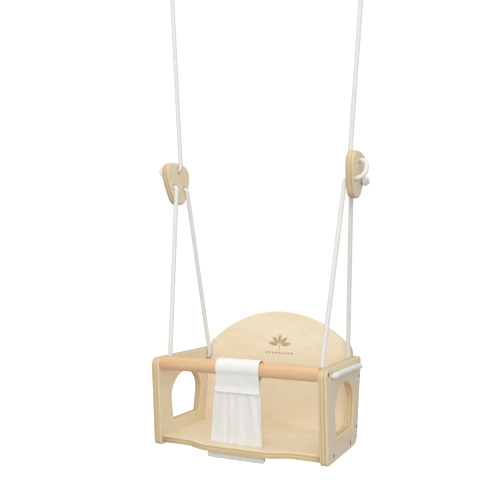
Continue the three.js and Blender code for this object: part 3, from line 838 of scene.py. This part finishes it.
# The others lie in the leaning frame of the rope: across, front to back, and up along it.
FRONT_LEG_ROUTE = [
    (0, -90.3, 4.4), (0, -77.6, 80), (0, -64.1, 160), (0, -50.7, 240), (0, -37.2, 320),
    (0, -25.6, 389),
]
REAR_LEG_ROUTE = [
    (0, 95, 0.4), (0, 80.8, 80), (0, 66.5, 160), (0, 52.2, 240), (0, 37.9, 320), (0, 25.6, 389),
]
MAIN_ROUTE = [
    (0, 0, 451.3), (0, 0, 520), (0, 0, 590), (0, 0, 660), (0, 0, 730), (0, 0, 800), (0, 0, 867.1),
]
NIP_ROUTE = [
    (0, 0, 451), (0, 0, 450), (1.2, 0, 445.5), (4.5, 0, 442.2), (9, 0, 441), (14.1, 0, 441),
]
PLATE_HOLE_ROUTE = [                      # in through a lower hole, and down
    (20, -24, 399), (9, -24, 399), (4.5, -24.2, 397.8), (1.2, -24.8, 394.5), (0, -25.4, 391),
    (0, -25.6, 389.6),
]
LOOP_ROUTES = {
    "left": [
        (14.4, 0, 441), (20, 0, 441), (30, -0.6, 445), (40, -2, 450), (47.4, -5, 449.6),
        (49.6, -8.6, 443.6), (45, -12, 436), (37.6, -15.6, 427), (32, -19.6, 414),
        (27.4, -22.8, 403.6), *PLATE_HOLE_ROUTE,
    ],
    "right": [
        (14.4, 0, 441), (20, 0, 441), (31, -1.4, 439), (38.8, -6, 431.4), (41.4, -12, 420.4),
        (38.8, -18, 409.2), (31, -22.4, 401.4), *PLATE_HOLE_ROUTE,
    ],
}
KNOT_ROUTE = [(28, 24, 399), *((x, -y, z) for x, y, z in PLATE_HOLE_ROUTE)]
EYE_HALF = [
    (0, -5.3, 868.6), (0, -5.3, 880), (0, -5.3, 892), (0, -7.5, 903), (0, -13, 915),
    (0, -18.4, 925), (0, -20, 935), (0, -17.3, 945), (0, -10, 952.3),
]
EYE_ROUTE = [*EYE_HALF, (0, 0, 955), *((x, -y, z) for x, y, z in reversed(EYE_HALF))]

BRAID_STRANDS = 6                 # in each direction round the rope
BRAID_PITCH = 6.2 * MM
BRAID_DEPTH = 0.55 * MM
ROPE_SIDES = 30
ROPE_STEP = 1.2 * MM
KNOT_STEPS = 14


def placed(route, side, in_box=False):
    """A route's points in the frame, mirrored for the left-hand side."""
    matrix = IN_BOX if in_box else leaning(side)
    return [matrix @ Vector((side * x * MM, y * MM, z * MM)) for x, y, z in route]


def smooth_line(points):
    """A centripetal Catmull-Rom line through the points, with each point's index on it."""
    points = [np.array(point) for point in points]
    ends = [2 * points[0] - points[1], *points, 2 * points[-1] - points[-2]]
    line, marks = [], []
    for p0, p1, p2, p3 in zip(ends, ends[1:], ends[2:], ends[3:]):
        t0 = 0.0
        t1 = t0 + np.linalg.norm(p1 - p0) ** 0.5
        t2 = t1 + np.linalg.norm(p2 - p1) ** 0.5
        t3 = t2 + np.linalg.norm(p3 - p2) ** 0.5
        count = max(1, math.ceil(np.linalg.norm(p2 - p1) / ROPE_STEP))
        marks.append(len(line))
        for t in t1 + (t2 - t1) * np.arange(count) / count:
            a1 = (p0 * (t1 - t) + p1 * (t - t0)) / (t1 - t0)
            a2 = (p1 * (t2 - t) + p2 * (t - t1)) / (t2 - t1)
            a3 = (p2 * (t3 - t) + p3 * (t - t2)) / (t3 - t2)
            b1 = (a1 * (t2 - t) + a2 * (t - t0)) / (t2 - t0)
            b2 = (a2 * (t3 - t) + a3 * (t - t1)) / (t3 - t1)
            line.append((b1 * (t2 - t) + b2 * (t - t1)) / (t2 - t1))
    marks.append(len(line))
    line.append(points[-1])
    return np.array(line), marks


def braid(turn, along):
    """The braid's relief, 0 in a groove and 1 on a crown: strands cross over and under."""
    a = turn * BRAID_STRANDS + along / BRAID_PITCH
    b = turn * BRAID_STRANDS - along / BRAID_PITCH
    over = (np.floor(a) + np.floor(b)) % 2 == 0
    across = np.where(over, b, a) % 1 * 2 - 1
    length = np.where(over, a, b) % 1 * 2 - 1
    return np.sqrt(np.clip(1 - across**2 * 0.92, 0, 1)) * (1 - 0.5 * length**2)


def rope_rings(line, radius=ROPE_RADIUS, taper=0.0):
    """Braided rings along a line, and how deep each point lies in a groove. The rings don't
    twist; taper rounds off the line's last end over that length."""
    tangents = np.gradient(line, axis=0)
    tangents /= np.linalg.norm(tangents, axis=1)[:, None]
    beside = Vector(tangents[0]).orthogonal().normalized()
    along, rings, grooves = 0.0, [], []
    turn = np.arange(ROPE_SIDES) / ROPE_SIDES
    total = line_length(line)
    for i, (point, tangent) in enumerate(zip(line, tangents)):
        tangent = Vector(tangent)
        if i:
            along += float(np.linalg.norm(point - line[i - 1]))
            beside = (beside - tangent * beside.dot(tangent)).normalized()
        above = tangent.cross(beside)
        relief = braid(turn, along)
        reach = (radius if np.isscalar(radius) else radius[i]) + BRAID_DEPTH * (relief - 0.8)
        if taper and total - along < taper:
            reach = reach * math.sqrt(max(0.04, 1 - (1 - (total - along) / taper) ** 2))
        angle = 2 * math.pi * turn
        rings.append(point + (reach * np.cos(angle))[:, None] * np.array(beside)
                     + (reach * np.sin(angle))[:, None] * np.array(above))
        grooves.append(relief)
    return np.array(rings), np.array(grooves)


def joined_route(name, side):
    """The whole rope from the sleeve to the end knot, and where its pieces meet."""
    parts = [
        placed(MAIN_ROUTE[::-1], side), placed(NIP_ROUTE, side), placed(LOOP_ROUTES[name], side),
        placed(FRONT_LEG_ROUTE[::-1], side), placed(PANEL_ROUTE, side, in_box=True),
        placed(REAR_LEG_ROUTE, side), placed(KNOT_ROUTE[::-1], side),
    ]
    points, meetings = list(parts[0]), []
    for part in parts[1:]:
        points[-1] = (points[-1] + part[0]) / 2
        meetings.append(len(points) - 1)
        points += part[1:]
    return points, meetings


def knot_turns(side):
    """The stopper knot's turns: the rope's end wound back round itself and tucked in."""
    turns = []
    for i in range(KNOT_STEPS + 1):
        share = i / KNOT_STEPS
        angle = math.radians(-60 + 560 * share)
        wide = 5.4 * math.sin(min(1.0, share * 5) * math.pi / 2)
        out = 31 + 2.8 * math.cos(share * math.pi * 1.15)
        turns.append((out, 24 + wide * math.sin(angle), 399 + wide * math.cos(angle)))
    turns += [(33, 32.2, 396.4), (35.5, 34, 393.2)]
    return placed(turns, side)


def rope_piece(name, line, material=ROPE, **shape):
    rings, grooves = rope_rings(line, **shape)
    lofts = Lofts()
    lofts.add(rings, groove=grooves)
    return lofts.object(name, material, crease=80)


def line_length(line):
    return float(np.linalg.norm(np.diff(line, axis=0), axis=1).sum())


def side_ropes(name, side):
    points, meetings = joined_route(name, side)
    points += knot_turns(side)
    line, marks = smooth_line(points)
    # The slack run along the panel's outer face is plumper than the rope under load.
    outside = np.clip((abs(line[:, 0]) - 201 * MM) / (4 * MM), 0, 1) * (line[:, 2] < LEG_FOOT_Z)
    rings, grooves = rope_rings(line, radius=ROPE_RADIUS + 1 * MM * outside, taper=3 * MM)
    cuts = [0, *(marks[m] for m in meetings), len(line) - 1]
    labels = ["main_rope", "rope_nip", "adjuster_loop", "front_leg", "panel_rope", "rear_leg",
              "end_knot"]
    made = {}
    for label, start, end in zip(labels, cuts, cuts[1:]):
        lofts = Lofts()
        lofts.add(rings[start:end + 1], groove=grooves[start:end + 1])
        made[label] = lofts.object(f"{name}_{label}_braid", ROPE, crease=80)
        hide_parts(f"{name}_{label}")
    eye_line, _ = smooth_line(placed(EYE_ROUTE, side))
    made["rope_eye"] = rope_piece(f"{name}_rope_eye_braid", eye_line)
    set_up(made["rope_eye"], "main_ropes", "cotton_rope", f"{name}_rope_eye")
    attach(made["rope_nip"], "rope_nips")
    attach(made["adjuster_loop"], "adjusters")
    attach(made["end_knot"], "adjusters")
    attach(made["panel_rope"], "seat")
    lines = {label: line[start:end + 1] for label, start, end in zip(labels, cuts, cuts[1:])}
    lines["rope_eye"] = eye_line
    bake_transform(made["main_rope"])
    for label, head in (("front_leg", 0), ("rear_leg", -1)):
        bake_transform(made[label])


# ---- hardware at the top ----------------------------------------------------------------------
SLEEVE_FOOT = 867.4 * MM
SLEEVE_HEIGHT = 24 * MM
STRAND = 5.3 * MM


def stadium(half, radius, height, steps=20):
    """A ring of points round two strands that lie side by side."""
    across = [*arc((0, 0), radius, -90, 90, steps), *arc((0, 0), radius, 90, 270, steps)]
    shifts = [half] * (steps + 1) + [-half] * (steps + 1)
    return [(point.y, point.x + shift, height) for point, shift in zip(across, shifts)]


def whipping(name, side):
    """Waxed thread wound tightly round the two strands below the eye."""
    turns, samples = 20, 8
    rings = []
    for i in range(turns * samples + 1):
        swell = abs(math.sin(math.pi * i / samples))
        radius = 7.1 * MM + 0.75 * MM * swell**0.7
        rings.append(stadium(STRAND, radius, SLEEVE_FOOT + SLEEVE_HEIGHT * i / (turns * samples)))
    inner = ROPE_RADIUS + GAP
    for height in (SLEEVE_FOOT + SLEEVE_HEIGHT, SLEEVE_FOOT):
        rings.append(stadium(STRAND, inner, height))
    lofts = Lofts()
    lofts.add(rings, closed=True)
    piece = lofts.object(f"{name}_eye_whipping", THREAD, 70, leaning(side))
    set_up(piece, "main_ropes", "whipping_thread", f"{name}_eye_sleeve")


def hanging_ring(name, side):
    """A welded steel ring, standing across the rope, with the weld's small bead at its top."""
    radius, wire, segments, sides = 22 * MM, 4 * MM, 128, 24
    centre = Vector((side * (ring_low.x + ring_high.x) / 2, 0, (ring_low.z + ring_high.z) / 2))
    rings = []
    for i in range(segments):
        turn = 2 * math.pi * i / segments
        from_weld = abs((turn - math.radians(60) + math.pi) % (2 * math.pi) - math.pi)
        thick = wire + 0.45 * MM * math.exp(-((from_weld * radius / (1.6 * MM)) ** 2))
        ring = []
        for j in range(sides):
            round_wire = 2 * math.pi * j / sides
            reach, aside = radius + thick * math.cos(round_wire), thick * math.sin(round_wire)
            ring.append((reach * math.cos(turn), aside, reach * math.sin(turn)))
        rings.append(ring)
    lofts = Lofts()
    lofts.add(rings, closed=True)
    piece = lofts.object(f"{name}_steel_ring", RING_STEEL, matrix=Matrix.Translation(centre))
    set_up(piece, "hangers", "ring_steel", f"{name}_hanging_ring")


# ---- strap ------------------------------------------------------------------------------------
CLOTH = 1.3 * MM
STRAP_BAR_X = 6 * MM
TUNNEL_HALF = 49 * MM             # half the strap's width at the bar, in the seam and in the slot
SEAM_HALF = 51 * MM
TAIL_FLAT_WIDTH = 132 * MM
SLOT_STRAP_HALF = 58.5 * MM
SEAM_Z = 133 * MM


def strap_middle(z):
    """Where the strap's middle line is: it leans to the right going up to the bar."""
    up = unit((z - SEAT_TOP) / (BAR_Z - SEAT_TOP))
    return SLOT_X + (STRAP_BAR_X - SLOT_X) * up


def in_mm(*points):
    return [(y * MM, z * MM) for y, z in points]


def cloth(name, grid, along):
    """A closed sheet of cloth on a grid of points in the seat box, rows x columns x 3."""
    grid = grid + np.array([0, BOX_SHIFT, BASE_Z])
    down, across = np.gradient(grid, axis=0), np.gradient(grid, axis=1)
    normals = np.cross(across, down)
    normals /= np.linalg.norm(normals, axis=2)[:, :, None]
    front, rear = grid + normals * CLOTH / 2, grid - normals * CLOTH / 2
    # Each row of the cloth is a ring: across the front, round the edge and back.
    edge = (grid[:, -1] - grid[:, -2]), (grid[:, 0] - grid[:, 1])
    edges = [e / np.linalg.norm(e, axis=1)[:, None] * CLOTH * 0.35 for e in edge]
    rings = np.concatenate([
        front, (grid[:, -1] + edges[0])[:, None], rear[:, ::-1], (grid[:, 0] + edges[1])[:, None],
    ], axis=1)
    lofts = Lofts()
    lofts.add(rings, along=np.repeat(along, rings.shape[1]))
    piece = lofts.object(name, CANVAS, crease=75)
    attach(piece, "seat")
    return piece, front, normals


def spaced_line(points, step):
    """Points (y, z) at equal steps along a line, and how far along it each of them is."""
    points = np.array(points, float)
    lengths = np.concatenate([[0], np.cumsum(np.linalg.norm(np.diff(points, axis=0), axis=1))])
    at = np.linspace(0, lengths[-1], math.ceil(lengths[-1] / step) + 1)
    return np.stack([np.interp(at, lengths, points[:, k]) for k in (0, 1)], axis=1), at


def section_normals(section):
    """Unit normals of a line in the (y, z) plane."""
    tangent = np.gradient(section, axis=0)
    tangent /= np.linalg.norm(tangent, axis=1)[:, None]
    return np.stack([tangent[:, 1], -tangent[:, 0]], axis=1)


def strap_tail():
    """The pleated tail: round the rod, up through the seat's slot and into the seam."""
    hem = ROD_RADIUS + CLOTH / 2 + 0.35 * MM
    section = in_mm((-98.6, 14), (-98.6, 8), (-98.8, 4))
    section += [(p.x, p.y) for p in arc((SLOT_Y, HEM_Z), hem, 66, -252, 40)]
    section += in_mm((-101.6, 4), (-101.4, 9), (-101.3, 15), (-101.6, 21), (-102.3, 30), (-105, 58),
                     (-108.4, 92), (-111.3, 120), (-112.2, 130), (-112.4, 141))
    line, along = spaced_line(section, 1.6 * MM)
    normals = section_normals(line)
    columns = 121
    share = np.linspace(-1, 1, columns)
    rod_part = along < along[-1] - 150 * MM
    grid = np.zeros((len(line), columns, 3))
    for i, ((y, z), (ny, nz), s) in enumerate(zip(line, normals, along)):
        low = rod_part[i]
        rise = 0.0 if low else unit((z - SEAT_TOP) / (SEAM_Z - SEAT_TOP))
        squeeze = unit((z - HEM_Z - 4 * MM) / (9 * MM))
        if s < 30 * MM:
            squeeze = max(0.0, 1 - s / (14 * MM)) * 0.9
        half = TAIL_FLAT_WIDTH / 2 + (SLOT_STRAP_HALF - TAIL_FLAT_WIDTH / 2) * squeeze
        half += (SEAM_HALF + 0.6 * MM - SLOT_STRAP_HALF) * rise**1.1
        depth = pleat_depth(z, squeeze)
        at_rod = math.hypot(y - SLOT_Y, z - HEM_Z) < hem * 1.2
        for j, u in enumerate(share):
            shift = depth * pleats(u, z)
            fold_y, fold_z = y + ny * shift, z + nz * shift
            if at_rod:
                drawn = 1 - 0.7 * unit((abs(u) - 0.94) / 0.06) ** 1.5
                fold_y = SLOT_Y + (fold_y - SLOT_Y) * drawn
                fold_z = HEM_Z + (fold_z - HEM_Z) * drawn
            grid[i, j] = (strap_middle(z) + half * u, fold_y, fold_z)
    piece, front, cloth_normals = cloth("strap_tail", grid, along)
    return piece, front, cloth_normals, along


def pleat_depth(z, squeeze):
    """How deep the pleats stand at a height: pressed flat in the seam, soft below it."""
    fade_in = unit((SEAM_Z + 1 * MM - z) / (14 * MM))
    below = 0.35 * MM + 1.5 * MM * squeeze
    middle = math.sin(math.pi * unit((z - SEAT_TOP) / (SEAM_Z - SEAT_TOP)))
    return (below + 1.3 * MM * middle) * (0.3 + 0.7 * fade_in)


def pleats(u, z):
    """Soft vertical folds, no two alike, wandering a little on their way down."""
    height = z / (100 * MM)
    wander = 0.05 * math.sin(2.3 * height + 5 * u) + 0.03 * math.sin(5.1 * height + 1.3 + 9 * u)
    phase = 4.3 * math.pi * (u + 0.10 * math.sin(2.7 * u + 0.6) + wander)
    fold = math.cos(phase + 0.55 * math.sin(phase + 0.8))
    uneven = 0.72 + 0.28 * math.sin(7.3 * u + 1.9 + 1.2 * height)
    small = noise.noise(Vector((u * 4, height * 1.8, 3.1))) * 0.35
    return fold * uneven + small


def strap_tunnel():
    """The sleeve of cloth round the bar, with its front edge folded under along the seam."""
    hug = BAR_RADIUS + CLOTH / 2 + 0.5 * MM
    section = in_mm((-110.7, 127), (-110.7, 133), (-110.8, 141), (-110.4, 147), (-108.2, 154),
                    (-103.6, 161.4))
    for turn in (math.radians(degrees) for degrees in range(-45, 216, 4)):
        reach = hug + 3 * MM * max(0.0, math.sin(turn)) ** 2
        section.append((BAR_Y + reach * math.cos(turn), BAR_Z + reach * math.sin(turn)))
    section += in_mm((-120.2, 167.5), (-118.6, 160), (-116.9, 152), (-115.4, 144.5), (-115.4, 141),
                     (-116.3, 136), (-117.2, 131))
    section += [(p.x, p.y) for p in arc((-116.3 * MM, 130.3 * MM), 0.95 * MM, 180, 360, 8)]
    section += in_mm((-114.5, 134), (-114.1, 139))
    line, along = spaced_line(section, 1.5 * MM)
    normals = section_normals(line)
    columns = 81
    share = np.linspace(-1, 1, columns)
    grid = np.zeros((len(line), columns, 3))
    for i, ((y, z), (ny, nz)) in enumerate(zip(line, normals)):
        free = unit((BAR_Z - 20 * MM - z) / (8 * MM))
        free *= unit((z - SEAM_Z - 4 * MM) / (8 * MM))
        up = unit((z - SEAM_Z) / (BAR_Z - SEAM_Z))
        half = SEAM_HALF + (TUNNEL_HALF - SEAM_HALF) * up - 0.8 * MM * math.sin(math.pi * up)
        for j, u in enumerate(share):
            pull = noise.noise(Vector((u * 2.1, z * 26, 8.4))) * 1.6 * MM
            pull += noise.noise(Vector((u * 6.0, z * 60, 2.7))) * 0.7 * MM
            edge = (u * u) ** 4
            shift = free * (pull * (1 - 0.5 * edge) + (y < BAR_Y) * 1.0 * MM * edge)
            grid[i, j] = (strap_middle(z) + half * u, y + ny * shift, z + nz * shift)
    piece, front, cloth_normals = cloth("strap_tunnel", grid, along)
    return piece, front, cloth_normals


def stitch_rings(start, end, normal, lofts, radius=0.32 * MM):
    """One stitch: a short thread that dips into the cloth at both ends."""
    start, end, normal = np.array(start), np.array(end), np.array(normal)
    forward = end - start
    beside = np.cross(forward / np.linalg.norm(forward), normal)
    rings = []
    for share, lift, wide in ((0, -0.25, 0.3), (0.12, 0.05, 0.85), (0.5, 0.22, 1.0),
                              (0.88, 0.05, 0.85), (1, -0.25, 0.3)):
        middle = start + forward * share + normal * lift * MM
        rings.append([middle + radius * wide * (beside * math.cos(a) + normal * math.sin(a))
                      for a in np.arange(6) * math.pi / 3])
    lofts.add(rings)


def stitch_row(lofts, points, normals, length=2.3 * MM, gap=0.9 * MM):
    """Stitches laid end to end along a line on the cloth."""
    lengths = np.concatenate([[0], np.cumsum(np.linalg.norm(np.diff(points, axis=0), axis=1))])
    at = gap
    while at + length < lengths[-1]:
        ends = [np.array([np.interp(d, lengths, points[:, k]) for k in range(3)])
                for d in (at, at + length)]
        normal = np.array([np.interp(at + length / 2, lengths, normals[:, k]) for k in range(3)])
        stitch_rings(*ends, normal / np.linalg.norm(normal), lofts)
        at += length + gap


def strap():
    tail, tail_front, tail_normals, tail_along = strap_tail()
    tunnel, front, normals = strap_tunnel()
    lofts = Lofts()
    heights = front[:, front.shape[1] // 2, 2] - BASE_Z
    depths = front[:, front.shape[1] // 2, 1]
    facing = depths < BAR_Y + BOX_SHIFT - 4 * MM
    for z in (132 * MM, 137.5 * MM):
        row = int(np.argmin(np.abs(heights - z) + ~facing))
        stitch_row(lofts, front[row], normals[row])
    rows = np.where(facing & (heights > 139 * MM))[0]
    for column in (4, -5):
        stitch_row(lofts, front[rows, column], normals[rows, column])
    tail_heights = tail_front[:, tail_front.shape[1] // 2, 2] - BASE_Z
    rows = np.where((tail_along > 60 * MM) & (tail_heights > 3 * MM) & (tail_heights < 128 * MM))[0]
    for column in (5, -6):
        stitch_row(lofts, tail_front[rows, column], tail_normals[rows, column])
    stitches = lofts.object("strap_stitches", THREAD, crease=80)
    set_up(stitches, "seat", "whipping_thread")
    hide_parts("crotch_strap")
    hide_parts("crotch_strap")


# ---- the swing --------------------------------------------------------------------------------
seat()
back()
dowel("front_bar_dowel", BAR_RADIUS, BOARD_HALF, 0.6 * MM, BEECH, "front_bar",
      IN_BOX @ Vector((0, BAR_Y, BAR_Z)))
dowel("retainer_rod_dowel", ROD_RADIUS, (rod_high.x - rod_low.x) / 2, 1.2 * MM, BEECH,
      "strap_retainer_rod", IN_BOX @ Vector((SLOT_X, SLOT_Y, HEM_Z)))
for side_name, hand in SIDES.items():
    side_panel(side_name, hand)
    adjuster_plate(side_name, hand)
    side_ropes(side_name, hand)
    whipping(side_name, hand)
    hanging_ring(side_name, hand)
    for screw_label, screw_place in SCREWS.items():
        screw(side_name, hand, screw_place, screw_label)
strap()


# ---- studio -----------------------------------------------------------------------------------
def studio_floor():
    """A plain pale floor, well below the swing."""
    mesh = bpy.data.meshes.new("floor")
    reach, below = 6.0, BASE_Z - 0.9
    mesh.from_pydata([(-reach, -reach, below), (reach, -reach, below), (reach, reach, below),
                      (-reach, reach, below)], [], [(0, 1, 2, 3)])
    finish = Finish("pale_floor", Roughness=0.9)
    finish.shader.inputs["Base Color"].default_value = rgb(0.5, 0.49, 0.48)
    finish.shader.inputs["Emission Color"].default_value = rgb(1, 1, 1)
    seen = finish.node("ShaderNodeLightPath").outputs["Is Camera Ray"]
    finish.put(finish.times(seen, 1.1), finish.shader.inputs["Emission Strength"])
    new_object("floor", mesh, finish.material)


def softbox(name, place, aim, size, power):
    light = bpy.data.lights.new(name, "AREA")
    light.shape, light.size, light.energy = "SQUARE", size, power
    made = bpy.data.objects.new(name, light)
    bpy.context.scene.collection.objects.link(made)
    turn = (Vector(aim) - Vector(place)).to_track_quat("-Z", "Y")
    made.matrix_world = Matrix.Translation(place) @ turn.to_matrix().to_4x4()


def white_room(strength):
    """Even white surroundings, seen as pure white."""
    world = bpy.data.worlds.new("white_room")
    bpy.context.scene.world = world
    world.use_nodes = True
    tree = world.node_tree
    lit = tree.nodes["Background"]
    lit.inputs["Color"].default_value = rgb(1.0, 0.99, 0.965)
    lit.inputs["Strength"].default_value = strength
    seen = tree.nodes.new("ShaderNodeBackground")
    seen.inputs["Color"].default_value = rgb(1, 1, 1)
    seen.inputs["Strength"].default_value = 1.05
    choice = tree.nodes.new("ShaderNodeMixShader")
    ray = tree.nodes.new("ShaderNodeLightPath")
    tree.links.new(ray.outputs["Is Camera Ray"], choice.inputs[0])
    tree.links.new(lit.outputs[0], choice.inputs[1])
    tree.links.new(seen.outputs[0], choice.inputs[2])
    tree.links.new(choice.outputs[0], tree.nodes["World Output"].inputs["Surface"])


def camera():
    """The camera stands in front, a little to the right and just below the adjusters."""
    target = Vector((-24.5 * MM, 0, -716.3 * MM))
    azimuth, elevation, roll = (math.radians(angle) for angle in (24.78, -1.619, 0.394))
    distance = 1515.8 * MM
    back_from = Vector((math.sin(azimuth) * math.cos(elevation),
                        -math.cos(azimuth) * math.cos(elevation), math.sin(elevation)))
    right = Vector((0, 0, 1)).cross(back_from).normalized()
    up = back_from.cross(right)
    turned_right = right * math.cos(roll) + up * math.sin(roll)
    turned_up = up * math.cos(roll) - right * math.sin(roll)
    lens = bpy.data.cameras.new("camera")
    lens.sensor_width, lens.lens = 36, 48.2
    made = bpy.data.objects.new("camera", lens)
    bpy.context.scene.collection.objects.link(made)
    axes = Matrix((turned_right, turned_up, back_from)).transposed().to_4x4()
    made.matrix_world = Matrix.Translation(target + back_from * distance) @ axes
    bpy.context.scene.camera = made


studio_floor()
white_room(0.64)
softbox("key", (0.8, -2.4, 0.1), (0, 0, -0.95), 2.4, 36)
softbox("overhead", (0.3, -0.6, 2.2), (0, -0.05, -1.0), 2.6, 24)
camera()
bpy.context.scene.view_settings.view_transform = "Standard"
